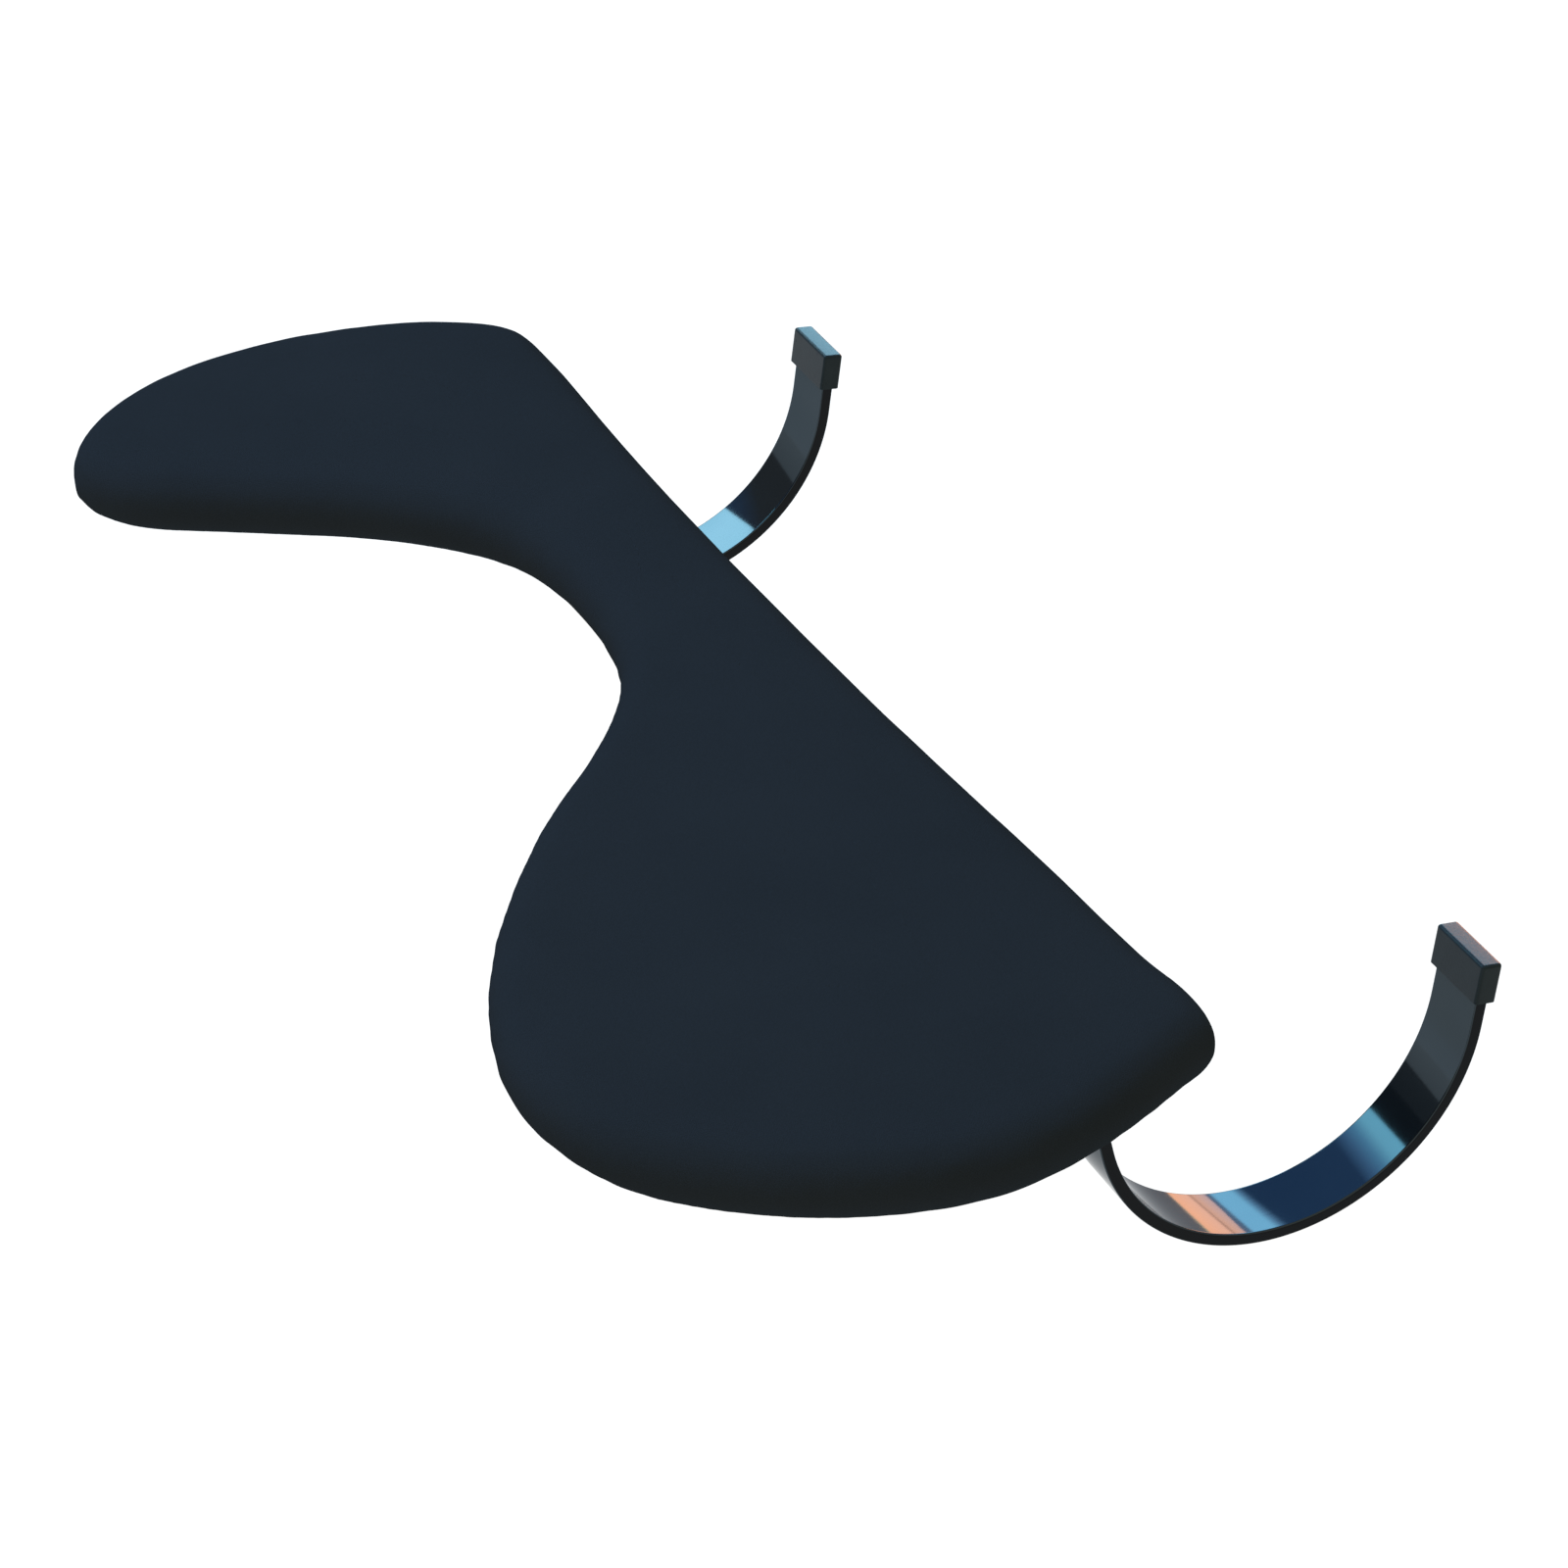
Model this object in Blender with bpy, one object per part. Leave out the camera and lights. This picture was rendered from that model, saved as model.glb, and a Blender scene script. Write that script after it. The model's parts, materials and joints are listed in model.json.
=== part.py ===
"""A padded violin shoulder rest: a kidney-shaped cushion on a stiff board, with two adjustable spring hooks.

+Z is the way the padded face looks, +X runs along the straight edge towards the broad lobe, and +Y points
from the board to the hooks' tips. The origin is under the middle of the whole object, level with its lowest
point. The cover wraps a foam pad and a plywood board. Under the board, each hook's flat tang slides in a
saddle, and a low thumb screw through the tang's slot clamps it, so the hook can reach in and out and swivel.
"""

import math

import bmesh
import bpy
import numpy as np

MM = 0.001
GAP = 0.3 * MM

# The pad's plan: knots of one smooth closed curve, clockwise from the broad end of the straight edge.
PAD_KNOTS = [
    (103.3, 20.8), (109.1, 19.5), (112.3, 13.1), (117.9, -0.8), (120.5, -15.7), (117.0, -31.1),
    (108.9, -45.4), (95.5, -58.3), (75.9, -63.5), (53.7, -57.9), (26.2, -39.5), (8.2, -21.7),
    (-6.1, -12.4), (-26.1, -9.4), (-46.4, -12.2), (-62.3, -24.3), (-78.1, -45.7), (-87.6, -58.3),
    (-97.6, -62.7), (-108.5, -57.8), (-117.8, -44.3), (-120.7, -25.2), (-117.3, -6.1), (-110.6, 7.5),
    (-103.5, 14.1), (-95.1, 15.0), (-72.0, 14.6), (-44.1, 14.2), (20.9, 15.8), (70.9, 18.8), (90.0, 19.7),
]
STEPS_PER_KNOT = 3

# The pad's layers, as heights above its underside.
PAD_HEIGHT = 10.0 * MM
SKIN = 0.9 * MM
BOTTOM_ROUND = 3.8 * MM
TOP_ROUND = 5.2 * MM
HEM = 7.0 * MM
PANEL_INSET = HEM + 0.4 * MM
BOARD_BOTTOM = SKIN + GAP
BOARD_TOP = 4.0 * MM
BOARD_INSET = 1.7 * MM
BOARD_EDGE = [(1.4 * MM, 0.0), (0.3 * MM, 0.9 * MM), (0.0, 1.6 * MM)]
PANEL_CHAMFER = 0.3 * MM
HOLE_PLAY = 0.4 * MM
FOAM_BOTTOM = BOARD_TOP + GAP
ROUND_STEPS = 4

# A hook's band: a strip that drops from its tip, sweeps round, rises, and bends back into a flat tang.
BAND_WIDTH = 10.0 * MM
BAND_THICK = 1.8 * MM
BAND_CHAMFER = 0.35 * MM
HOOK_RADIUS = 26.95 * MM
HOOK_FLARE = math.radians(10.4)
TIP_LEG = 9.0 * MM
BEND_RADIUS = 3.5 * MM
TANG_LENGTH = 28.0 * MM
TIP_Y = 60.7 * MM

# A hook's clamp. The slot lets the tang slide this far each way from where the broad hook stands.
SCREW_Y = -12.0 * MM
REACH_IN = 5.0 * MM
REACH_OUT = 9.0 * MM
SHANK_RADIUS = 2.4 * MM
BORE_RADIUS = 2.7 * MM
DISC_RADIUS = 9.0 * MM
DISC_THICK = 0.8 * MM
SADDLE_LENGTH = 12.0 * MM
SADDLE_FLOOR = 1.2 * MM
SADDLE_WALL = 1.5 * MM
SADDLE_PLAY = 0.4 * MM
WASHER_RADIUS = 5.5 * MM
WASHER_THICK = 0.6 * MM
HEAD_RADIUS = 6.5 * MM
HEAD_HEIGHT = 2.8 * MM
GRIP_LOBES = 24
GRIP_DEPTH = 0.35 * MM
COIN_SLOT = (1.4 * MM, 1.1 * MM)
BARREL_RADIUS = 4.0 * MM
FLANGE_RADIUS = 7.0 * MM
FLANGE_THICK = 0.8 * MM

# The rubber sleeve on a hook's tip.
CAP_FIT = 0.25 * MM
CAP_WALL = 0.45 * MM
CAP_END = 0.9 * MM
CAP_COVER = 4.7 * MM

# Heights that follow from the above. The sweep's lowest point stands on Z = 0.
TIP_Z = TIP_LEG * math.cos(HOOK_FLARE) + HOOK_RADIUS * (1 - math.sin(HOOK_FLARE)) + BAND_THICK
UNDERSIDE = 33.5 * MM
DISC_TOP = UNDERSIDE + BOARD_BOTTOM - GAP
TANG_TOP = DISC_TOP - DISC_THICK - GAP
SADDLE_BOTTOM = TANG_TOP - BAND_THICK - GAP - SADDLE_FLOOR
WASHER_TOP = SADDLE_BOTTOM - GAP
HEAD_TOP = WASHER_TOP - WASHER_THICK - GAP
SHANK_TOP = UNDERSIDE + FOAM_BOTTOM + 0.6 * MM

# Each hook's name, its middle along the edge, and how far its band is pushed in from the broad one.
HOOKS = {"broad": (100.9 * MM, 0.0), "slim": (-88.5 * MM, 3.5 * MM)}

# The countersunk screws that hold the underside panel to the board.
PANEL_SCREWS = [(78, -2), (88, -46), (38, -32), (-30, 2), (-104, -2), (-98, -48)]
COUNTERSINK_RADIUS = 2.6 * MM
COUNTERSINK_HEIGHT = 1.0 * MM
SCREW_SINK = 0.05 * MM
SCREW_PLAY = 0.35 * MM
HEX_RADIUS = 1.1 * MM
HEX_DEPTH = 0.7 * MM
THREAD_RADIUS = 1.25 * MM
THREAD_TOP = 3.6 * MM

ROUND_SIDES = 32
SHARP = math.radians(35)


def clear_scene():
    for obj in list(bpy.data.objects):
        bpy.data.objects.remove(obj)


def material(name, colour, roughness, metallic=0.0):
    made = bpy.data.materials.new(name)
    made.use_nodes = True
    shader = made.node_tree.nodes["Principled BSDF"]
    shader.inputs["Base Color"].default_value = (*colour, 1)
    shader.inputs["Roughness"].default_value = roughness
    shader.inputs["Metallic"].default_value = metallic
    return made


def empty(name, place, parent=None):
    """An empty that stands on a joint's axis, at a place in the whole object's frame."""
    made = bpy.data.objects.new(name, None)
    made.empty_display_size = 5 * MM
    bpy.context.scene.collection.objects.link(made)
    hang(made, place, parent)
    return made


def hang(obj, place, parent):
    """Puts an object at a place in the whole object's frame. A parent here only moves, so places subtract."""
    start = (0, 0, 0)
    up = parent
    while up:
        start = tuple(a + b for a, b in zip(start, up.location))
        up = up.parent
    obj.parent = parent
    obj.location = tuple(a - b for a, b in zip(place, start))


def solid(name, bm, finish=None, place=(0, 0, 0), parent=None):
    """Makes an object from a closed bmesh whose points are measured from the object's own origin."""
    bmesh.ops.remove_doubles(bm, verts=bm.verts, dist=0.001 * MM)
    bmesh.ops.recalc_face_normals(bm, faces=bm.faces)
    mesh = bpy.data.meshes.new(name)
    bm.to_mesh(mesh)
    bm.free()
    mesh.shade_smooth()
    mesh.set_sharp_from_angle(angle=SHARP)
    obj = bpy.data.objects.new(name, mesh)
    bpy.context.scene.collection.objects.link(obj)
    if finish:
        mesh.materials.append(finish)
    hang(obj, place, parent)
    return obj


def cut(obj, cutter):
    """Takes the cutter's shape out of the object. The cutter moves with the object it cuts."""
    cutter.hide_render = True
    cutter.display_type = "WIRE"
    modifier = obj.modifiers.new("cut_" + cutter.name, "BOOLEAN")
    modifier.operation = "DIFFERENCE"
    modifier.solver = "EXACT"
    modifier.object = cutter


def loft(rings):
    """A closed bmesh through rings of equally many 3-D points, with a face across each end."""
    bm = bmesh.new()
    loops = [[bm.verts.new(point) for point in ring] for ring in rings]
    for low, high in zip(loops, loops[1:]):
        for i in range(len(low)):
            bm.faces.new((low[i - 1], low[i], high[i], high[i - 1]))
    bm.faces.new(loops[0])
    bm.faces.new(loops[-1])
    return bm


def turned(profile, sides=ROUND_SIDES):
    """Spins (radius, height) points round Z. The profile ends on the axis, or comes back to its start."""
    bm = bmesh.new()
    verts = [bm.verts.new((radius, 0, height)) for radius, height in profile]
    edges = [bm.edges.new(pair) for pair in zip(verts, verts[1:])]
    if profile[0][0] > 0:
        edges.append(bm.edges.new((verts[-1], verts[0])))
    bmesh.ops.spin(
        bm, geom=verts + edges, cent=(0, 0, 0), axis=(0, 0, 1), angle=2 * math.pi, steps=sides
    )
    return bm


def ring_profile(inner, outer, bottom, top, chamfer=0.15 * MM):
    """The section of a flat ring with its outer corners broken."""
    return [
        (inner, bottom),
        (outer - chamfer, bottom),
        (outer, bottom + chamfer),
        (outer, top - chamfer),
        (outer - chamfer, top),
        (inner, top),
    ]


def pin_profile(radius, bottom, top, chamfer=0.4 * MM):
    """The section of a solid pin with both ends chamfered, from axis to axis."""
    return [
        (0, bottom),
        (radius - chamfer, bottom),
        (radius, bottom + chamfer),
        (radius, top - chamfer),
        (radius - chamfer, top),
        (0, top),
    ]


# ---- The pad ----------------------------------------------------------------------------------------


def pad_outline():
    """The pad's plan, as points along a smooth closed curve through its knots."""
    knots = np.array(PAD_KNOTS) * MM
    spans = np.linalg.norm(np.roll(knots, -1, 0) - knots, axis=1) ** 0.75
    count = len(knots)

    def slope(i):
        before, after = spans[i - 1], spans[i % count]
        back = (knots[i % count] - knots[i - 1]) / before
        ahead = (knots[(i + 1) % count] - knots[i % count]) / after
        return (back * after + ahead * before) / (before + after)

    points = []
    for i in range(count):
        start, end = knots[i], knots[(i + 1) % count]
        leave, arrive = slope(i) * spans[i], slope(i + 1) * spans[i]
        for t in np.linspace(0, 1, STEPS_PER_KNOT, endpoint=False):
            blend = 3 * t**2 - 2 * t**3
            points.append(
                (1 - blend) * start
                + blend * end
                + (t**3 - 2 * t**2 + t) * leave
                + (t**3 - t**2) * arrive
            )
    return np.array(points)


def inset(outline, depth):
    """The clockwise outline moved inwards. Points that would cross over at a tight corner gather there."""
    if depth == 0:
        return outline.copy()
    along = np.roll(outline, -1, 0) - np.roll(outline, 1, 0)
    along /= np.linalg.norm(along, axis=1)[:, None]
    moved = outline + depth * np.stack([along[:, 1], -along[:, 0]], 1)
    starts, ends = outline, np.roll(outline, -1, 0)
    edges = ends - starts
    t = np.einsum("pek,ek->pe", moved[:, None] - starts, edges) / (edges**2).sum(1)
    nearest = starts + np.clip(t, 0, 1)[..., None] * edges
    distance = np.linalg.norm(moved[:, None] - nearest, axis=2).min(1)
    kept = distance > depth - 0.12 * MM
    count = len(outline)
    for i in np.flatnonzero(~kept):
        before = next(j for j in range(1, count) if kept[i - j])
        after = next(j for j in range(1, count) if kept[(i + j) % count])
        moved[i] = (moved[i - before] + moved[(i + after) % count]) / 2
    return moved


def plan_ring(outline, depth, height):
    """The outline at a depth in from the pad's edge and a height above its underside, in 3-D."""
    return [(x, y, UNDERSIDE + height) for x, y in inset(outline, depth)]


def rounded_edge(shrink, bottom):
    """(depth, height) pairs up a skin inside the cover's outer surface, from the given bottom to its top."""
    pairs = []
    for i in range(ROUND_STEPS + 1):
        angle = math.pi / 2 * i / ROUND_STEPS
        radius = BOTTOM_ROUND - shrink
        pair = (BOTTOM_ROUND - radius * math.sin(angle), BOTTOM_ROUND - radius * math.cos(angle))
        pairs.append(pair)
    for i in range(ROUND_STEPS + 1):
        angle = math.pi / 2 * i / ROUND_STEPS
        radius = TOP_ROUND - shrink
        middle = PAD_HEIGHT - TOP_ROUND
        pairs.append((TOP_ROUND - radius * math.cos(angle), middle + radius * math.sin(angle)))
    return [pair for pair in pairs if pair[1] >= bottom]


def make_cover(outline, finish):
    inner = rounded_edge(SKIN, 0)
    outer = rounded_edge(0, 0)
    profile = inner[::-1] + [(HEM, SKIN), (HEM, 0)] + outer
    return solid("cover", loft([plan_ring(outline, *pair) for pair in profile]), finish)


def make_foam(outline, finish):
    edge = rounded_edge(SKIN + GAP, FOAM_BOTTOM)
    profile = [(edge[0][0], FOAM_BOTTOM)] + edge
    pad = solid("foam_pad", loft([plan_ring(outline, *pair) for pair in profile]), finish)
    for hook, (x, _) in HOOKS.items():
        pocket = pin_profile(FLANGE_RADIUS + HOLE_PLAY, -1 * MM, FLANGE_THICK + HOLE_PLAY)
        place = (x, SCREW_Y, UNDERSIDE + FOAM_BOTTOM)
        cut(pad, solid(hook + "_flange_pocket", turned(pocket), place=place))
    return pad


def make_board(outline, finish):
    profile = [(BOARD_INSET + into, BOARD_BOTTOM + rise) for into, rise in BOARD_EDGE]
    profile.append((BOARD_INSET, BOARD_TOP))
    return solid("base_board", loft([plan_ring(outline, *pair) for pair in profile]), finish)


def make_panel(outline, finish):
    profile = [(PANEL_INSET + PANEL_CHAMFER, 0), (PANEL_INSET, PANEL_CHAMFER), (PANEL_INSET, SKIN)]
    return solid("underside_panel", loft([plan_ring(outline, *pair) for pair in profile]), finish)


def drill_clamp_holes(board, panel):
    """The board's holes for the threaded inserts, and the panel's wider ones that the friction discs lie in."""
    for hook, (x, _) in HOOKS.items():
        for layer, radius in ((board, BARREL_RADIUS), (panel, DISC_RADIUS)):
            hole = pin_profile(radius + HOLE_PLAY, -2 * MM, BOARD_TOP + 2 * MM)
            name = f"{hook}_hole_in_{layer.name}"
            cut(layer, solid(name, turned(hole), place=(x, SCREW_Y, UNDERSIDE)))


def make_panel_screws(layers, finish):
    """Flush countersunk screws with a hexagonal socket, and the holes they sit in."""
    throat = SCREW_SINK + COUNTERSINK_HEIGHT
    screw = [
        (0, SCREW_SINK),
        (COUNTERSINK_RADIUS, SCREW_SINK),
        (THREAD_RADIUS, throat),
        (THREAD_RADIUS, THREAD_TOP),
        (0, THREAD_TOP + 0.3 * MM),
    ]
    wide, narrow = COUNTERSINK_RADIUS + SCREW_PLAY, THREAD_RADIUS + SCREW_PLAY
    below, above = -1 * MM, BOARD_TOP + 1 * MM
    hole = [
        (0, below),
        (wide, below),
        (wide, SCREW_SINK),
        (narrow, throat),
        (narrow, above),
        (0, above),
    ]
    socket = pin_profile(HEX_RADIUS, -0.5 * MM, SCREW_SINK + HEX_DEPTH, 0.1 * MM)
    for number, (x, y) in enumerate(PANEL_SCREWS, 1):
        place = (x * MM, y * MM, UNDERSIDE)
        drill = solid(f"panel_screw_hole_{number}", turned(hole, 16), place=place)
        for layer in layers:
            cut(layer, drill)
        made = solid(f"panel_screw_{number}", turned(screw, 16), finish, place)
        cut(made, solid(f"hex_socket_{number}", turned(socket, 6), place=place))


# ---- A hook and its clamp ---------------------------------------------------------------------------


def band_path():
    """The band's concave face from tip to tang end: (y, z, heading) points measured from the tip."""
    path = [(0.0, 0.0, -math.pi / 2 - HOOK_FLARE)]

    def straight(length):
        y, z, heading = path[-1]
        path.append((y + length * math.cos(heading), z + length * math.sin(heading), heading))

    def bend(radius, turn, steps):
        """A positive turn is to the left of the way the path runs."""
        y, z, heading = path[-1]
        side = math.copysign(radius, turn)
        for i in range(1, steps + 1):
            now = heading + turn * i / steps
            across = side * (math.sin(now) - math.sin(heading))
            up = side * (math.cos(heading) - math.cos(now))
            path.append((y + across, z + up, now))

    outer_bend = BEND_RADIUS + BAND_THICK
    rise = outer_bend * (1 - math.sin(HOOK_FLARE))
    tip_drop = TIP_LEG * math.cos(HOOK_FLARE)
    root_leg = (TANG_TOP - TIP_Z + tip_drop - rise) / math.cos(HOOK_FLARE)
    straight(TIP_LEG)
    bend(HOOK_RADIUS, -(math.pi - 2 * HOOK_FLARE), 24)
    straight(root_leg)
    bend(outer_bend, math.pi / 2 - HOOK_FLARE, 6)
    straight(TANG_LENGTH)
    return path


def band_section():
    """The strip's section as (across, depth) points, with its four long corners broken."""
    half, c, t = BAND_WIDTH / 2, BAND_CHAMFER, BAND_THICK
    right = [(half - c, 0), (half, c), (half, t - c), (half - c, t)]
    left = [(-across, depth) for across, depth in reversed(right)]
    return right + left


def make_band(hook, tip, pivot, parent, finish):
    """The band swept along its path, with the clamp's slot through its tang."""
    rings = []
    for y, z, heading in band_path():
        sideways, upward = -math.sin(heading), math.cos(heading)
        rings.append(
            [
                (across, tip[1] + y + depth * sideways - pivot[1], tip[2] + z + depth * upward - pivot[2])
                for across, depth in band_section()
            ]
        )
    band = solid(hook + "_hook_band", loft(rings), finish, pivot, parent)
    rest = pivot[1] - (TIP_Y - tip[1])
    cut(band, make_slot_cutter(hook, (pivot[0], rest, pivot[2]), parent))
    return band


def make_slot_cutter(hook, place, parent):
    """A stadium-shaped block: the shank plus the tang's travel each way."""
    radius, sides = BORE_RADIUS, 12
    plan = []
    for middle, start in ((REACH_IN, 0), (-REACH_OUT, math.pi)):
        for i in range(sides + 1):
            angle = start + math.pi * i / sides
            plan.append((radius * math.cos(angle), middle + radius * math.sin(angle)))
    rings = [[(x, y, z) for x, y in plan] for z in (-5 * MM, 3 * MM)]
    return solid(hook + "_slot_cutter", loft(rings), place=place, parent=parent)


def make_cap(hook, tip, pivot, parent, finish):
    """A rubber sleeve on the band's tip: a block with broken edges and a pocket that the tip fills."""
    half_width = BAND_WIDTH / 2 + CAP_FIT + CAP_WALL
    half_depth = BAND_THICK / 2 + CAP_FIT + CAP_WALL
    top = CAP_FIT + CAP_END
    chamfer = 0.35 * MM

    def block(x, y, z):
        corner = chamfer * 0.8
        plan = [(x - corner, y), (x, y - corner)]
        plan += [(a, -b) for a, b in reversed(plan)]
        plan += [(-a, b) for a, b in reversed(plan)]
        return [(a, b, z) for a, b in plan]

    rings = [
        block(half_width, half_depth, -CAP_COVER),
        block(half_width, half_depth, top - chamfer),
        block(half_width - chamfer, half_depth - chamfer, top),
    ]
    lean = math.sin(HOOK_FLARE), math.cos(HOOK_FLARE)
    middle = BAND_THICK / 2
    place = (tip[0], tip[1] + middle * lean[1], tip[2] - middle * lean[0])
    cap = solid(hook + "_tip_cap", loft(rings), finish, place, parent)
    pocket = [
        block(BAND_WIDTH / 2 + CAP_FIT, middle + CAP_FIT, z) for z in (-CAP_COVER - 2 * MM, CAP_FIT)
    ]
    cutter = solid(hook + "_cap_pocket", loft(pocket), place=place, parent=parent)
    for obj in (cap, cutter):
        obj.rotation_euler.x = -HOOK_FLARE
    cut(cap, cutter)
    return cap


def make_saddle(hook, pivot, parent, finish):
    """A channel that the tang lies in, bored for the clamp screw."""
    inner = BAND_WIDTH / 2 + SADDLE_PLAY
    outer = inner + SADDLE_WALL
    floor = SADDLE_BOTTOM + SADDLE_FLOOR - pivot[2]
    low = SADDLE_BOTTOM - pivot[2]
    top = TANG_TOP - pivot[2]
    corner = 0.5 * MM
    right = [
        (outer - corner, low),
        (outer, low + corner),
        (outer, top - corner / 2),
        (outer - corner / 2, top),
        (inner, top),
        (inner, floor),
    ]
    section = right + [(-x, z) for x, z in reversed(right)]
    ends = (-SADDLE_LENGTH / 2, SADDLE_LENGTH / 2)
    rings = [[(x, y, z) for x, z in section] for y in ends]
    saddle = solid(hook + "_saddle", loft(rings), finish, pivot, parent)
    bore = turned(pin_profile(BORE_RADIUS, low - 2 * MM, floor + 2 * MM), 24)
    cut(saddle, solid(hook + "_saddle_bore", bore, place=pivot, parent=parent))
    return saddle


def make_insert(hook, pivot, finish):
    """The flanged threaded bush that the clamp screw bites in, let into the board from above."""
    bottom = BOARD_BOTTOM + 0.1 * MM
    top = FOAM_BOTTOM + FLANGE_THICK
    section = [
        (BORE_RADIUS, bottom),
        (BARREL_RADIUS, bottom),
        (BARREL_RADIUS, FOAM_BOTTOM),
        (FLANGE_RADIUS, FOAM_BOTTOM),
        (FLANGE_RADIUS, top),
        (BORE_RADIUS, top),
    ]
    return solid(hook + "_threaded_insert", turned(section, 24), finish, pivot)


def make_thumb_screw(hook, pivot, parent, finish):
    """A low screw with a fluted rim for the fingers, a slot for a coin, and its shank in one piece."""
    top = HEAD_TOP - pivot[2]
    low = top - HEAD_HEIGHT
    end = SHANK_TOP - pivot[2]
    sides = GRIP_LOBES * 2

    def ring(radius, flute, z):
        points = []
        for i in range(sides):
            angle = 2 * math.pi * i / sides
            reach = radius - flute * (i % 2)
            points.append((reach * math.cos(angle), reach * math.sin(angle), z))
        return points

    edge = 0.5 * MM
    profile = [
        (HEAD_RADIUS - 2 * edge, 0, low),
        (HEAD_RADIUS, GRIP_DEPTH, low + edge),
        (HEAD_RADIUS, GRIP_DEPTH, top - edge),
        (HEAD_RADIUS - edge, 0, top),
        (SHANK_RADIUS, 0, top),
        (SHANK_RADIUS, 0, end - edge),
        (SHANK_RADIUS - edge, 0, end),
    ]
    screw = solid(hook + "_thumb_screw", loft([ring(*row) for row in profile]), finish, pivot, parent)
    width, depth = COIN_SLOT
    reach = HEAD_RADIUS + 1 * MM
    corners = [(-reach, -width / 2), (reach, -width / 2), (reach, width / 2), (-reach, width / 2)]
    slot = loft([[(x, y, z) for x, y in corners] for z in (low - depth, low + depth)])
    cut(screw, solid(hook + "_coin_slot", slot, place=pivot, parent=parent))
    return screw


def make_hook(hook, finishes):
    """One hook with its clamp. Empties stand on the axes that its pieces turn and slide on."""
    x, pushed_in = HOOKS[hook]
    pivot = (x, SCREW_Y, UNDERSIDE)
    tip = (x, TIP_Y - pushed_in, TIP_Z)
    swivel = empty(hook + "_swivel_axis", pivot)
    reach = empty(hook + "_reach_axis", pivot, swivel)
    lift = empty(hook + "_lift_axis", pivot)
    turn = empty(hook + "_turn_axis", pivot, lift)

    make_insert(hook, pivot, finishes["brass"])
    disc = ring_profile(BORE_RADIUS, DISC_RADIUS, DISC_TOP - DISC_THICK - UNDERSIDE, DISC_TOP - UNDERSIDE)
    solid(hook + "_friction_disc", turned(disc), finishes["rubber"], pivot)
    make_saddle(hook, pivot, swivel, finishes["black_steel"])
    make_band(hook, tip, pivot, reach, finishes["black_chrome"])
    make_cap(hook, tip, pivot, reach, finishes["rubber"])
    low = WASHER_TOP - WASHER_THICK - UNDERSIDE
    washer = ring_profile(BORE_RADIUS, WASHER_RADIUS, low, WASHER_TOP - UNDERSIDE)
    solid(hook + "_washer", turned(washer, 24), finishes["steel"], pivot, lift)
    make_thumb_screw(hook, pivot, turn, finishes["black_steel"])


def main():
    clear_scene()
    finishes = {
        "fabric": material("black_fabric", (0.016, 0.022, 0.032), 0.9),
        "foam": material("grey_foam", (0.18, 0.18, 0.19), 0.95),
        "plywood": material("birch_plywood", (0.55, 0.38, 0.2), 0.6),
        "panel": material("grained_black_panel", (0.02, 0.02, 0.022), 0.55),
        "black_chrome": material("black_chrome", (0.06, 0.07, 0.08), 0.12, 1.0),
        "black_steel": material("black_steel", (0.03, 0.03, 0.035), 0.35, 0.6),
        "steel": material("zinc_steel", (0.6, 0.6, 0.6), 0.3, 1.0),
        "brass": material("brass", (0.7, 0.5, 0.2), 0.3, 1.0),
        "rubber": material("black_rubber", (0.02, 0.022, 0.025), 0.7),
    }
    outline = pad_outline()
    make_cover(outline, finishes["fabric"])
    make_foam(outline, finishes["foam"])
    board = make_board(outline, finishes["plywood"])
    panel = make_panel(outline, finishes["panel"])
    drill_clamp_holes(board, panel)
    make_panel_screws([board, panel], finishes["black_steel"])
    for hook in HOOKS:
        make_hook(hook, finishes)


main()
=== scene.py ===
# %% [markdown]
# # A padded violin shoulder rest
#
# The object is a kidney-shaped pad, covered in smooth black fabric over foam and plywood. Two
# black-chromed steel hooks slide and swivel in clamps under its board, and grip the violin's edge.
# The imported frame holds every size, place and joint. This script loads it and dresses it: plain
# solids get real finishes, and the pieces that need a finer shape are made again where they stand.

import json
import math

import bmesh
import bpy
import numpy as np
from mathutils import Matrix, Vector

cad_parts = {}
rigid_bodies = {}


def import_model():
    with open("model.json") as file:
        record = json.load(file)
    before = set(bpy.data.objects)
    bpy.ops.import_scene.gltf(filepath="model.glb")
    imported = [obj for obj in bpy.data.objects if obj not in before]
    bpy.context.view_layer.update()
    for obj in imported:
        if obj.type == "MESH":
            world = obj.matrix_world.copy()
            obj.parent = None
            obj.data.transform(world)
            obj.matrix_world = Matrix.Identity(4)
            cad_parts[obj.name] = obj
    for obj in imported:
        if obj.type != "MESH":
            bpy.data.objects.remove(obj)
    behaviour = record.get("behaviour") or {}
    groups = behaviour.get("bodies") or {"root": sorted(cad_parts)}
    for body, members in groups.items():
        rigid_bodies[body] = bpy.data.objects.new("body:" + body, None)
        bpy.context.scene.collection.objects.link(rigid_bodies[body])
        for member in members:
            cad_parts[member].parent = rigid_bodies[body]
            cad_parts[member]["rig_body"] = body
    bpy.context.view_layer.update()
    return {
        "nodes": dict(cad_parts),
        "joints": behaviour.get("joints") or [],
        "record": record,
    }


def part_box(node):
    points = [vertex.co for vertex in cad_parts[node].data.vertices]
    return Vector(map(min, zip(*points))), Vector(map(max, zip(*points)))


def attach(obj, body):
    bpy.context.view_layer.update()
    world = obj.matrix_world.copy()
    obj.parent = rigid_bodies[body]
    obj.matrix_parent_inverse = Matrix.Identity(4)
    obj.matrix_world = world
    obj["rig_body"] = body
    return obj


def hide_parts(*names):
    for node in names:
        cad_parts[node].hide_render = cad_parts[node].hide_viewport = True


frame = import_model()

MM = 0.001
HOOKS = ("broad", "slim")

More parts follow.
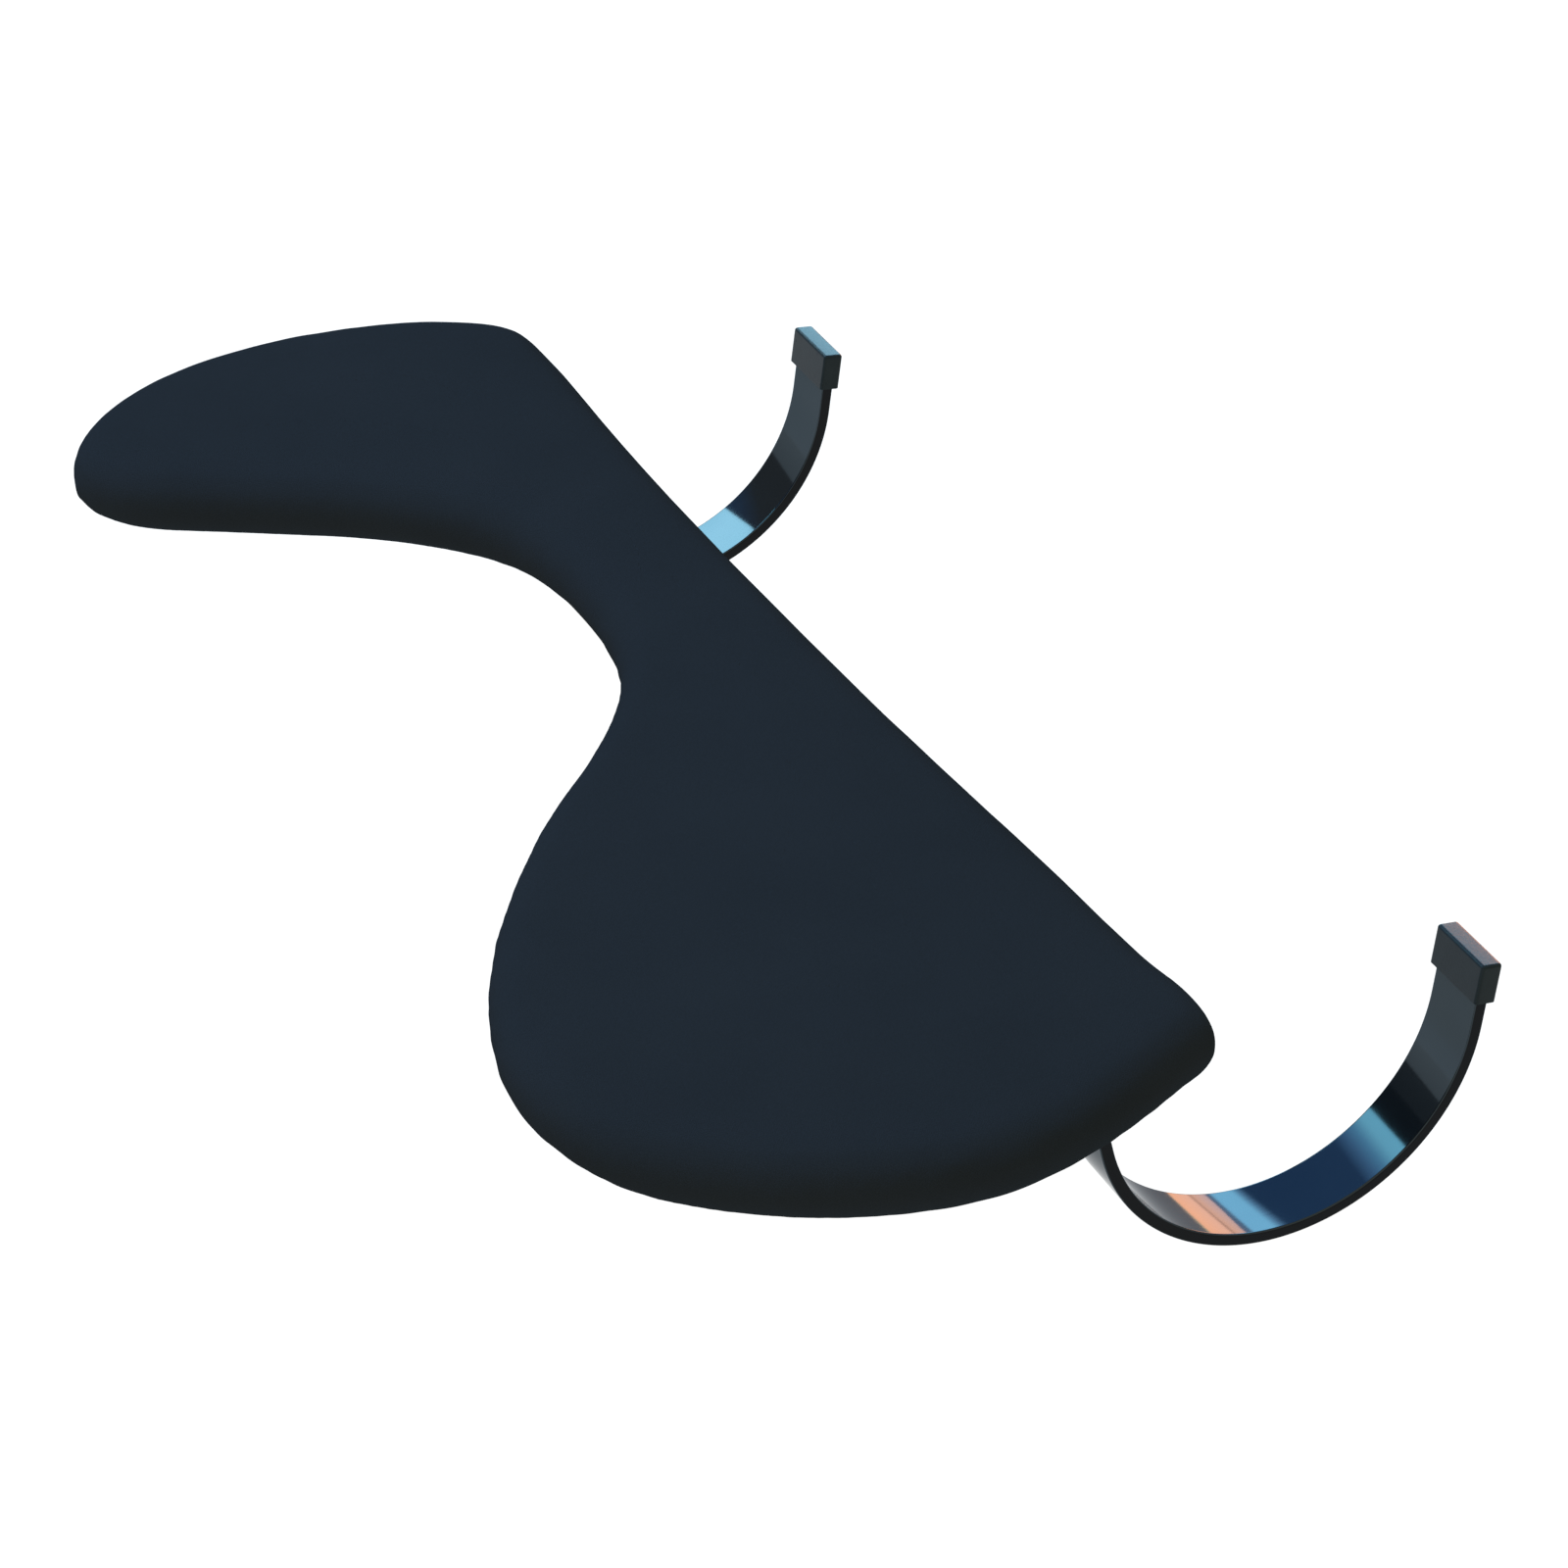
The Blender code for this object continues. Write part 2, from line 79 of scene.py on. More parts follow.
# %% [markdown]
# ## Working by hand, in code
#
# Blender's edit-mode operators act on whatever is selected, so each step starts by selecting
# nothing, then picks faces or edges by where they are. A few helpers keep that short. A finished
# piece has its place baked into its mesh, with its object at the origin, as every frame node has.

# %% Select, edit and apply
def only(obj):
    """Makes obj the one selected, active object."""
    bpy.ops.object.select_all(action="DESELECT")
    obj.select_set(True)
    bpy.context.view_layer.objects.active = obj


def edit(obj, mode="FACE"):
    """Opens obj for editing with nothing selected."""
    only(obj)
    bpy.ops.object.mode_set(mode="EDIT")
    bpy.ops.mesh.select_mode(type=mode)
    bpy.ops.mesh.select_all(action="DESELECT")


def pick(obj, test, kind="faces"):
    """Selects, in edit mode, the faces, edges or verts that pass the test. Returns how many did."""
    mesh = bmesh.from_edit_mesh(obj.data)
    chosen = [part for part in getattr(mesh, kind) if test(part)]
    for part in chosen:
        part.select_set(True)
    mesh.select_flush_mode()
    bmesh.update_edit_mesh(obj.data)
    return len(chosen)


def done():
    """Closes obj after editing."""
    bpy.ops.object.mode_set(mode="OBJECT")


def modify(obj, kind, **settings):
    """Adds a modifier, sets it, and applies it."""
    only(obj)
    modifier = obj.modifiers.new(kind.title(), kind)
    for name, value in settings.items():
        setattr(modifier, name, value)
    bpy.ops.object.modifier_apply(modifier=modifier.name)


def cut(obj, cutter):
    """Takes the cutter's shape out of obj, and clears the cutter away."""
    modify(obj, "BOOLEAN", operation="DIFFERENCE", solver="EXACT", object=cutter)
    bpy.data.objects.remove(cutter)


def bake_place(obj):
    """Moves an object's place, turn and scale into its mesh."""
    only(obj)
    bpy.ops.object.transform_apply(location=True, rotation=True, scale=True)


def start(name, operator, **settings):
    """Adds a primitive with Blender's own operator, and names it."""
    bpy.ops.object.select_all(action="DESELECT")
    operator(**settings)
    made = bpy.context.object
    made.name = name
    made.data.name = name
    return made


def block(name, middle, size):
    """A box of a size about its middle, with its place baked."""
    made = start(name, bpy.ops.mesh.primitive_cube_add, size=1, location=middle)
    made.scale = size
    bake_place(made)
    return made


def disc(name, middle, radius, height, sides=64):
    """An upright cylinder about its middle, with its place baked."""
    made = start(
        name, bpy.ops.mesh.primitive_cylinder_add,
        vertices=sides, radius=radius, depth=height, location=middle,
    )
    bake_place(made)
    return made


def clean(obj):
    """Closes seams left by an operator and turns every face outwards."""
    edit(obj, "VERT")
    bpy.ops.mesh.select_all(action="SELECT")
    bpy.ops.mesh.remove_doubles(threshold=0.002 * MM)
    bpy.ops.mesh.normals_make_consistent(inside=False)
    done()


def smooth(obj, degrees=35):
    """Smooth shading with crisp edges, and with flat faces kept flat up to their bevels."""
    only(obj)
    bpy.ops.object.shade_smooth_by_angle(angle=math.radians(degrees))
    modify(obj, "WEIGHTED_NORMAL", keep_sharp=True)


def soften_edges(obj, width, segments=3, degrees=40):
    """Bevels every edge that is sharper than an angle."""
    edit(obj, "EDGE")
    bpy.ops.mesh.edges_select_sharp(sharpness=math.radians(degrees))
    bpy.ops.mesh.bevel(offset=width, segments=segments, profile=0.5, clamp_overlap=True)
    done()


def push(distance, direction):
    """Extrudes what is selected along a direction."""
    value = tuple(distance * part for part in direction)
    bpy.ops.mesh.extrude_region_move(TRANSFORM_OT_translate={"value": value})


def taper(scale, axis):
    """Draws what is selected in towards an upright axis."""
    bpy.ops.transform.resize(value=(scale, scale, 1), center_override=tuple(axis))


def length_along(edge, axis):
    """How far an edge reaches along X, Y or Z, which are 0, 1 and 2."""
    return abs(edge.verts[0].co[axis] - edge.verts[1].co[axis])


def copy_node(node, name):
    """A merged copy of a frame node's mesh, as a new object."""
    source = frame["nodes"][node]
    made = bpy.data.objects.new(name, source.data.copy())
    bpy.context.scene.collection.objects.link(made)
    made.data.materials.clear()
    if made.data.has_custom_normals:
        only(made)
        bpy.ops.mesh.customdata_custom_splitnormals_clear()
    edit(made, "VERT")
    bpy.ops.mesh.select_all(action="SELECT")
    bpy.ops.mesh.remove_doubles(threshold=0.002 * MM)
    done()
    return made


# %% [markdown]
# ## Writing finishes as sums
#
# A material is a web of nodes, which is hard to read as a list of links. Here a socket is wrapped
# in a small class, so that a pattern is written as arithmetic and each operator adds a Math node.
# One method makes every other kind of node: its settings first, and then its sockets.

# %% Wires and finishes
class Wire:
    """One output socket of a material, which adds and multiplies like a number."""

    def __init__(self, finish, socket):
        self.finish = finish
        self.socket = socket

    def _sum(self, operation, *values):
        inputs = dict(enumerate(values))
        return self.finish.node("ShaderNodeMath", {"operation": operation}, inputs)

    def __add__(self, other):
        return self._sum("ADD", self, other)

    def __sub__(self, other):
        return self._sum("SUBTRACT", self, other)

    def __rsub__(self, other):
        return self._sum("SUBTRACT", other, self)

    def __mul__(self, other):
        return self._sum("MULTIPLY", self, other)

    def __truediv__(self, other):
        return self._sum("DIVIDE", self, other)

    def __pow__(self, other):
        return self._sum("POWER", self, other)

    def __abs__(self):
        return self._sum("ABSOLUTE", self)

    __radd__ = __add__
    __rmul__ = __mul__

    def wave(self, length):
        """A sine along this wire, from -1 to 1, that repeats every length."""
        return self._sum("SINE", self * (2 * math.pi / length))

    def between(self, low, high):
        """0 below low and 1 above high, with an eased step from one to the other."""
        return self.finish.node(
            "ShaderNodeMapRange",
            {"interpolation_type": "SMOOTHSTEP"},
            {"Value": self, "From Min": low, "From Max": high},
        )


class Finish:
    """One procedural material. Its patterns lie in the frame's own metres."""

    def __init__(self, name, **shader_values):
        self.material = bpy.data.materials.new(name)
        self.material.use_nodes = True
        self.tree = self.material.node_tree
        self.shader = self.tree.nodes["Principled BSDF"]
        self.place = self.node("ShaderNodeTexCoord", output="Object")
        self.set(**shader_values)

    def connect(self, socket, value):
        if isinstance(value, Wire):
            self.tree.links.new(value.socket, socket)
        else:
            socket.default_value = value

    def node(self, kind, settings=None, inputs=None, output=0):
        """Adds a node: its settings first, a ramp's stops among them, then its sockets."""
        made = self.tree.nodes.new(kind)
        for name, value in (settings or {}).items():
            if name == "stops":
                self.set_stops(made.color_ramp, value)
            else:
                setattr(made, name, value)
        for name, value in (inputs or {}).items():
            self.connect(made.inputs[name], value)
        return Wire(self, made.outputs[output])

    def set_stops(self, ramp, stops):
        for _ in stops[2:]:
            ramp.elements.new(0.5)
        for element, (position, colour) in zip(ramp.elements, stops):
            element.position = position
            element.color = (*colour, 1)

    def set(self, **values):
        """Sets the shader's sockets by name, with underscores for spaces."""
        for name, value in values.items():
            socket = self.shader.inputs[name.replace("_", " ")]
            if isinstance(value, tuple) and len(value) == 3 and socket.type == "RGBA":
                value = (*value, 1)
            self.connect(socket, value)

    def mix(self, factor, low, high):
        """A colour between two, each a wire or three numbers."""
        low, high = [c if isinstance(c, Wire) else (*c, 1) for c in (low, high)]
        settings = {"data_type": "RGBA"}
        return self.node("ShaderNodeMix", settings, {0: factor, 6: low, 7: high}, output=2)

    def axes(self, vector=None):
        """The three numbers of a vector, or of the place itself."""
        split = self.tree.nodes.new("ShaderNodeSeparateXYZ")
        self.connect(split.inputs[0], vector or self.place)
        return [Wire(self, out) for out in split.outputs]

    def least(self, first, second):
        return first._sum("MINIMUM", first, second)

    def facing(self):
        """How far the surface looks along X, Y and Z, each from 0 to 1 whichever way."""
        return [abs(axis) for axis in self.axes(self.node("ShaderNodeTexCoord", output="Normal"))]

    def stretch(self, scale):
        """The place, squeezed along each axis by a scale, for grain that runs one way."""
        settings = {"vector_type": "POINT"}
        return self.node("ShaderNodeMapping", settings, {"Vector": self.place, "Scale": scale})

    def noise(self, size, detail=2.0, rough=0.5, place=None):
        """Cloudy variation, from 0 to 1, whose blotches are about one size across."""
        inputs = {
            "Vector": place or self.place, "Scale": 1 / size, "Detail": detail, "Roughness": rough,
        }
        return self.node("ShaderNodeTexNoise", None, inputs)

    def cells(self, size, feature="F1"):
        """Distance from the middle, or from the wall, of close-packed cells of one size."""
        inputs = {"Vector": self.place, "Scale": 1 / size}
        return self.node("ShaderNodeTexVoronoi", {"feature": feature}, inputs)

    def raise_by(self, height, depth, strength=1.0):
        """Raises the surface by a pattern from 0 to 1 that is depth metres high."""
        inputs = {"Height": height, "Distance": depth, "Strength": strength}
        self.set(Normal=self.node("ShaderNodeBump", None, inputs))


# %% [markdown]
# ## The finishes
#
# Each finish is built from what the real surface is: cloth from its knit, plywood from its plies,
# metal from its polish and the haze that handling leaves. Sizes in them are real sizes.

# %% Black fabric for the cover
# A close warp knit, heat-pressed over foam: nearly smooth, with a fine nap that dulls it unevenly.
KNIT_PITCH = 0.42 * MM
KNIT_DEPTH = 0.022 * MM


def fabric_finish():
    cloth = Finish("black_fabric", Specular_IOR_Level=0.0)
    x, y, z = cloth.axes()
    across, along, up = [axis.wave(KNIT_PITCH) for axis in (x, y, z)]
    looks_x, looks_y, looks_z = [side * side for side in cloth.facing()]
    knit = across * along * looks_z + along * up * looks_x + across * up * looks_y
    nap = cloth.noise(0.25 * MM, detail=3)
    blotch = cloth.noise(14 * MM, detail=4)
    worn = cloth.noise(45 * MM, detail=2)
    shade = (knit * 0.08 + nap * 0.5 + blotch * 0.2 + worn * 0.35).between(0.1, 0.95)
    cloth.set(
        Base_Color=cloth.mix(shade, (0.0125, 0.0158, 0.0190), (0.0178, 0.0224, 0.0270)),
        Roughness=0.84 + blotch * 0.12,
    )
    cloth.raise_by(knit * 0.35 + nap * 0.5 + 0.5, KNIT_DEPTH)
    return cloth.material


# %% Grey foam and birch plywood
def foam_finish():
    foam = Finish("grey_foam", Roughness=0.95, Specular_IOR_Level=0.2)
    pores = foam.cells(0.7 * MM).between(0.15, 0.6)
    fine = foam.cells(0.28 * MM).between(0.1, 0.6)
    tone = foam.noise(20 * MM, detail=3)
    # The pores are painted darker than the walls between them: painted shade in the pits, mixed with
    # random tone.
    foam.set(Base_Color=foam.mix(pores * 0.6 + tone * 0.4, (0.07, 0.07, 0.075), (0.21, 0.21, 0.22)))
    foam.raise_by(pores * 0.7 + fine * 0.3, 0.18 * MM)
    return foam.material


PLY = 0.7 * MM


def plywood_finish():
    wood = Finish("birch_plywood", Specular_IOR_Level=0.35)
    _, _, z = wood.axes()
    _, _, looks_z = wood.facing()
    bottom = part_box("base_board")[0].z
    long_grain = wood.noise(1.1 * MM, detail=5, rough=0.62, place=wood.stretch((0.08, 1.0, 1.0)))
    cross_grain = wood.noise(0.9 * MM, detail=4, rough=0.6, place=wood.stretch((1.0, 0.10, 1.0)))
    ply = ((z - bottom) * (1 / PLY)).wave(2.0).between(-0.15, 0.15)
    glue = (abs(((z - bottom) * (1 / PLY)).wave(2.0))).between(0.0, 0.22)
    face = wood.mix(long_grain.between(0.35, 0.7), (0.62, 0.44, 0.25), (0.42, 0.27, 0.13))
    light_ply = wood.mix(long_grain, (0.55, 0.37, 0.19), (0.42, 0.27, 0.13))
    dark_ply = wood.mix(cross_grain, (0.36, 0.22, 0.10), (0.25, 0.14, 0.06))
    edge = wood.mix(glue, (0.09, 0.045, 0.02), wood.mix(ply, light_ply, dark_ply))
    flat = looks_z.between(0.75, 0.9)
    wood.set(Base_Color=wood.mix(flat, edge, face), Roughness=0.5 + long_grain * 0.3)
    wood.raise_by(long_grain * flat + cross_grain * (1 - flat), 0.05 * MM)
    return wood.material


# %% Grained black panel and black rubber
def panel_finish():
    panel = Finish("grained_black_panel", Specular_IOR_Level=0.45)
    creases = panel.cells(1.1 * MM, feature="DISTANCE_TO_EDGE").between(0.0, 0.22)
    pebble = panel.cells(1.1 * MM)
    haze = panel.noise(18 * MM, detail=4)
    scuff = panel.noise(6 * MM, detail=8, rough=0.7).between(0.58, 0.74)
    # The crease lines are painted darker than the pebbles: painted shade in the grain's grooves, mixed
    # with random haze.
    tone = creases * 0.7 + haze * 0.3
    panel.set(
        Base_Color=panel.mix(tone, (0.009, 0.009, 0.010), (0.026, 0.026, 0.028)),
        Roughness=0.42 + haze * 0.18 + scuff * 0.15 - creases * 0.08,
    )
    panel.raise_by(creases * (1 - pebble * 0.5), 0.09 * MM)
    return panel.material


def rubber_finish():
    rubber = Finish("black_rubber", Specular_IOR_Level=0.08)
    skin = rubber.noise(0.35 * MM, detail=3)
    bloom = rubber.noise(3.5 * MM, detail=4)
    rub = rubber.noise(1.6 * MM, detail=6, rough=0.7).between(0.55, 0.75)
    rubber.set(
        Base_Color=rubber.mix(bloom, (0.008, 0.014, 0.017), (0.015, 0.023, 0.027)),
        Roughness=0.24 + bloom * 0.10 + rub * 0.12,
    )
    rubber.raise_by(skin, 0.010 * MM)
    return rubber.material


# %% Black chrome for the hooks
# Decorative chromium over a polished strip: a dark mirror with a cool tint and a breath of haze.
# The strip's slit edges are rougher than its faces, and painted near-black: painted shade where
# they face off to the sides. Bending leaves a strip very slightly crowned across its width, which
# is what makes its reflections run aslant.
pivots = {}
for joint in frame["joints"]:
    if joint["name"].endswith("_hook_swivel"):
        pivots[joint["name"].split("_")[0]] = Vector(joint["pos_m"])
screw_axes = [pivots[hook].xy for hook in HOOKS]
HALF_BAND = 5 * MM
CROWN = 0.085 * MM


def chrome_finish():
    chrome = Finish(
        "black_chrome", Metallic=0.9, Specular_IOR_Level=0.0, Specular_Tint=(0.58, 0.60, 0.62),
    )
    x, _, _ = chrome.axes()
    looks_x, _, _ = chrome.facing()
    # Faces looking along X, the slit edges, get a near-black colour as painted shade; their extra
    # roughness is real.
    edge = looks_x.between(0.55, 0.9)
    broad, slim = [abs(x - axis.x) * (1 / HALF_BAND) for axis in screw_axes]
    across = chrome.least(broad, slim)
    haze = chrome.noise(9 * MM, detail=4)
    hair = chrome.noise(0.5 * MM, detail=3, place=chrome.stretch((1.0, 0.04, 0.04)))
    face = chrome.mix(haze, (0.037, 0.049, 0.058), (0.043, 0.056, 0.065))
    chrome.set(
        Base_Color=chrome.mix(edge, face, (0.012, 0.013, 0.014)),
        Roughness=0.05 + haze * 0.03 + hair * 0.02 + edge * 0.3,
    )
    chrome.raise_by(across * across * (1 - edge) + hair * 0.02 + haze * 0.02, CROWN)
    return chrome.material


# %% Steel and brass for the clamps
def black_steel_finish():
    steel = Finish("black_steel", Metallic=0.75)
    grit = steel.noise(0.18 * MM, detail=3)
    cloud = steel.noise(5 * MM, detail=4)
    rubbed = steel.noise(2.2 * MM, detail=7, rough=0.7).between(0.60, 0.78)
    tone = cloud * 0.5 + rubbed * 0.5
    steel.set(
        Base_Color=steel.mix(tone, (0.030, 0.031, 0.035), (0.085, 0.085, 0.09)),
        Roughness=0.30 + cloud * 0.15 + grit * 0.08 - rubbed * 0.08,
    )
    steel.raise_by(grit, 0.008 * MM)
    return steel.material


def turned_metal_finish(name, dark, bright):
    """Bright metal faced on a lathe: fine rings about each screw's axis, and a little tarnish."""
    metal = Finish(name, Metallic=1.0)
    x, y, _ = metal.axes()
    broad, slim = [((x - axis.x) ** 2.0 + (y - axis.y) ** 2.0) ** 0.5 for axis in screw_axes]
    rings = metal.least(broad, slim).wave(0.22 * MM) * 0.5 + 0.5
    tarnish = metal.noise(3 * MM, detail=5, rough=0.6)
    metal.set(
        Base_Color=metal.mix(tarnish, bright, dark),
        Roughness=0.22 + tarnish * 0.2 + rings * 0.06,
    )
    metal.raise_by(rings, 0.006 * MM)
    return metal.material


ZINC = (0.36, 0.37, 0.38), (0.62, 0.63, 0.65)
BRASS = (0.42, 0.26, 0.09), (0.72, 0.50, 0.20)

finishes = {
    "black_fabric": fabric_finish(),
    "grey_foam": foam_finish(),
    "birch_plywood": plywood_finish(),
    "grained_black_panel": panel_finish(),
    "black_rubber": rubber_finish(),
    "black_chrome": chrome_finish(),
    "black_steel": black_steel_finish(),
    "zinc_steel": turned_metal_finish("zinc_steel", *ZINC),
    "brass": turned_metal_finish("brass", *BRASS),
}
print("finishes:", ", ".join(finishes))


# %% Every frame node takes the finish that the record names for it
def paint(obj, slot):
    obj.data.materials.clear()
    obj.data.materials.append(finishes[slot])


for part in frame["record"]["subparts"]:
    paint(frame["nodes"][part["node"]], part["material_slot"])


def hand_in(piece, node):
    """The piece rides where its frame node rode, stands for it, and takes its finish."""
    slot = next(p["material_slot"] for p in frame["record"]["subparts"] if p["node"] == node)
    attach(piece, frame["nodes"][node]["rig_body"])
    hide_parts(node)
    paint(piece, slot)
    print(piece.name, "has", len(piece.data.polygons), "faces")


# %% [markdown]
# ## The cushion
#
# On the real object a sheet of stretch fabric is pulled over a foam slab and a plywood board, and
# glued round the board's underside. Pulled cloth has no flat tops and no even radii, so the shape
# comes from a cloth simulation: the frame's outer skin, remeshed and slightly blown up with its
# underside pinned. That one swollen body then gives the cover, as the shell between it and a copy
# moved inwards, and the foam, as a second copy moved in further and cut flat.

# %% Take the outer skin of the frame's cover and close it
cover_low, cover_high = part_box("cover")
UNDERSIDE = cover_low.z
SKIN = 0.9 * MM
CLEARANCE = 0.3 * MM


def is_hem_edge(face):
    """Whether a face belongs to the strip that joins the outer and inner skins at the hem's cut."""
    heights = [(v.co.z - UNDERSIDE) / SKIN for v in face.verts]
    return abs(face.normal.z) < 0.3 and abs(min(heights)) < 0.01 and abs(max(heights) - 1) < 0.01


def outer_body():
    """The frame's cover without its hem's cut edge and inner skin, closed flat across its underside."""
    body = copy_node("cover", "cushion_body")
    edit(body)
    mesh = bmesh.from_edit_mesh(body.data)
    rim = [face for face in mesh.faces if is_hem_edge(face)]
    bmesh.ops.delete(mesh, geom=rim, context="FACES")
    bmesh.update_edit_mesh(body.data)
    done()
    only(body)
    bpy.ops.mesh.separate(type="LOOSE")
    shells = sorted(bpy.context.selected_objects, key=lambda o: min(v.co.z for v in o.data.vertices))
    outer, inner = shells[0], shells[1:]
    for shell in inner:
        bpy.data.objects.remove(shell)
    edit(outer, "EDGE")
    pick(outer, lambda edge: edge.is_boundary, "edges")
    bpy.ops.mesh.edge_face_add()
    bpy.ops.mesh.select_all(action="SELECT")
    bpy.ops.mesh.normals_make_consistent(inside=False)
    done()
    return outer


PLUG_HEIGHT = 2.6 * SKIN


def plug_from(body):
    """An upright block whose plan is the opening that the hem leaves under the pad."""
    plug = bpy.data.objects.new("hem_plug", body.data.copy())
    bpy.context.scene.collection.objects.link(plug)
    edit(plug)
    most = max(len(face.vertices) for face in plug.data.polygons)
    pick(plug, lambda face: len(face.verts) < most)
    bpy.ops.mesh.delete(type="FACE")
    bpy.ops.mesh.select_all(action="SELECT")
    bpy.ops.transform.translate(value=(0, 0, -SKIN))
    push(PLUG_HEIGHT, (0, 0, 1))
    bpy.ops.mesh.select_all(action="SELECT")
    bpy.ops.mesh.fill_holes(sides=0)
    bpy.ops.mesh.normals_make_consistent(inside=False)
    done()
    return plug


cushion = outer_body()
hem_plug = plug_from(cushion)
print("cushion body:", len(cushion.data.polygons), "faces; hem opening:", hem_plug.dimensions[:])

# %% [markdown]
# The remesh turns the skin's long thin faces into an even grid that cloth can stretch. What looks
# straight down is set back onto one plane, and the lowest cloth is pinned, as it is glued there.

# %% Remesh, pin and blow up
VOXEL = 1.6 * MM
SWELL = 0.9 * MM
PRESSURE = 4.0
PIN_HEIGHT = 2.2 * MM
CLOTH_FRAMES = 20
LOOKS_DOWN = -0.985


def remesh(obj, voxel):
    modify(obj, "REMESH", mode="VOXEL", voxel_size=voxel, adaptivity=0.0, use_smooth_shade=True)


def coordinates(obj):
    points = np.empty(len(obj.data.vertices) * 3)
    obj.data.vertices.foreach_get("co", points)
    return points.reshape(-1, 3)


def set_coordinates(obj, points):
    obj.data.vertices.foreach_set("co", np.asarray(points, np.float32).ravel())
    obj.data.update()


def settle_underside(obj):
    """Lays what looks straight down back on the board's plane, and lets nothing hang below it."""
    points = coordinates(obj)
    normals = np.empty(points.size)
    obj.data.vertices.foreach_get("normal", normals)
    points[normals[2::3] < LOOKS_DOWN, 2] = UNDERSIDE
    points[:, 2] = np.maximum(points[:, 2], UNDERSIDE)
    set_coordinates(obj, points)


def swell(obj):
    """Blows the skin up as pressurised cloth, with its underside held, and caps how far it moves."""
    before = coordinates(obj)
    held = obj.vertex_groups.new(name="glued")
    low = np.flatnonzero(before[:, 2] < UNDERSIDE + PIN_HEIGHT)
    held.add(low.tolist(), 1.0, "REPLACE")
    only(obj)
    bpy.ops.object.modifier_add(type="CLOTH")
    cloth = obj.modifiers[-1]
    settings = cloth.settings
    settings.quality = 6
    settings.mass = 0.2
    settings.tension_stiffness = 12
    settings.compression_stiffness = 12
    settings.shear_stiffness = 5
    settings.bending_stiffness = 0.3
    settings.use_pressure = True
    settings.uniform_pressure_force = PRESSURE
    settings.vertex_group_mass = held.name
    settings.effector_weights.gravity = 0
    cloth.point_cache.frame_start = 1
    cloth.point_cache.frame_end = CLOTH_FRAMES
    for number in range(1, CLOTH_FRAMES + 1):
        bpy.context.scene.frame_set(number)
    bpy.ops.object.modifier_apply(modifier=cloth.name)
    bpy.context.scene.frame_set(1)
    moved = coordinates(obj) - before
    furthest = np.linalg.norm(moved, axis=1).max()
    set_coordinates(obj, before + moved * min(1.0, SWELL / furthest))
    obj.vertex_groups.clear()
    print("cloth moved", round(furthest / MM, 2), "mm, capped at", SWELL / MM)


remesh(cushion, VOXEL)
settle_underside(cushion)
swell(cushion)
modify(cushion, "CORRECTIVE_SMOOTH", factor=0.5, iterations=2, use_only_smooth=True)
settle_underside(cushion)
modify(cushion, "SUBSURF", levels=1, render_levels=1)
settle_underside(cushion)
print("cushion skin:", len(cushion.data.polygons), "faces")

# %% The cover, as the shell between the body and a copy moved inwards
def duplicate(source, name):
    made = bpy.data.objects.new(name, source.data.copy())
    bpy.context.scene.collection.objects.link(made)
    return made


def moved_in(source, name, depth):
    """A copy of a closed skin, moved inwards by a depth all over."""
    made = duplicate(source, name)
    modify(made, "DISPLACE", strength=-depth, mid_level=0.0, direction="NORMAL")
    return made


def combine(obj, operation, other):
    """Joins or cuts two closed skins, and clears the second away."""
    modify(obj, "BOOLEAN", operation=operation, solver="MANIFOLD", object=other)
    bpy.data.objects.remove(other)


cover = duplicate(cushion, "fabric_cover")
hollow = moved_in(cushion, "hollow", SKIN)
combine(hollow, "UNION", hem_plug)
combine(cover, "DIFFERENCE", hollow)
smooth(cover, degrees=50)
hand_in(cover, "cover")

# %% The foam, cut flat where it lies on the board, with pockets for the inserts' flanges
FOAM_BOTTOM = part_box("foam_pad")[0].z
POCKET_PLAY = 0.4 * MM
CUTTER_HEIGHT = 10 * MM

foam = moved_in(cushion, "foam_slab", SKIN + CLEARANCE)
edit(foam, "VERT")
bpy.ops.mesh.select_all(action="SELECT")
bpy.ops.mesh.bisect(
    plane_co=(0, 0, FOAM_BOTTOM), plane_no=(0, 0, 1),
    use_fill=True, clear_inner=True, threshold=0.001 * MM,
)
done()
for hook in HOOKS:
    low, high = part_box(hook + "_threaded_insert")
    pocket_top = high.z + POCKET_PLAY
    pocket_radius = (high.x - low.x) / 2 + POCKET_PLAY
    middle = (pivots[hook].x, pivots[hook].y, pocket_top - CUTTER_HEIGHT / 2)
    cut(foam, disc(hook + "_pocket", middle, pocket_radius, CUTTER_HEIGHT))
smooth(foam, degrees=50)
hand_in(foam, "foam_pad")
bpy.data.objects.remove(cushion)

# %% [markdown]
# ## The hook bands
#
# Each hook is one strip of spring steel, bent cold: a flat tang under the pad, a tight bend down, a
# wide sweep, and a short leg up to the tip. A path could sweep the section along, but a bent strip
# is truer made as the maker bends it. The tang is a block, and its end face is spun round each
# bend's centre and extruded along each straight. The slit edges are then rounded, and the slot
# that the clamp screw slides in is punched last.

# %% Bend one strip
THICK = 1.8 * MM
FLARE = math.radians(10.4)
TANG = 28 * MM
BEND = 5.3 * MM
SWEEP = 26.95 * MM
TIP_LEG = 9 * MM
EDGE_ROUND = 0.35 * MM
SLOT_RADIUS = 2.7 * MM
BEND_STEPS = 14
SWEEP_STEPS = 90
ALONG_X = (1, 0, 0)


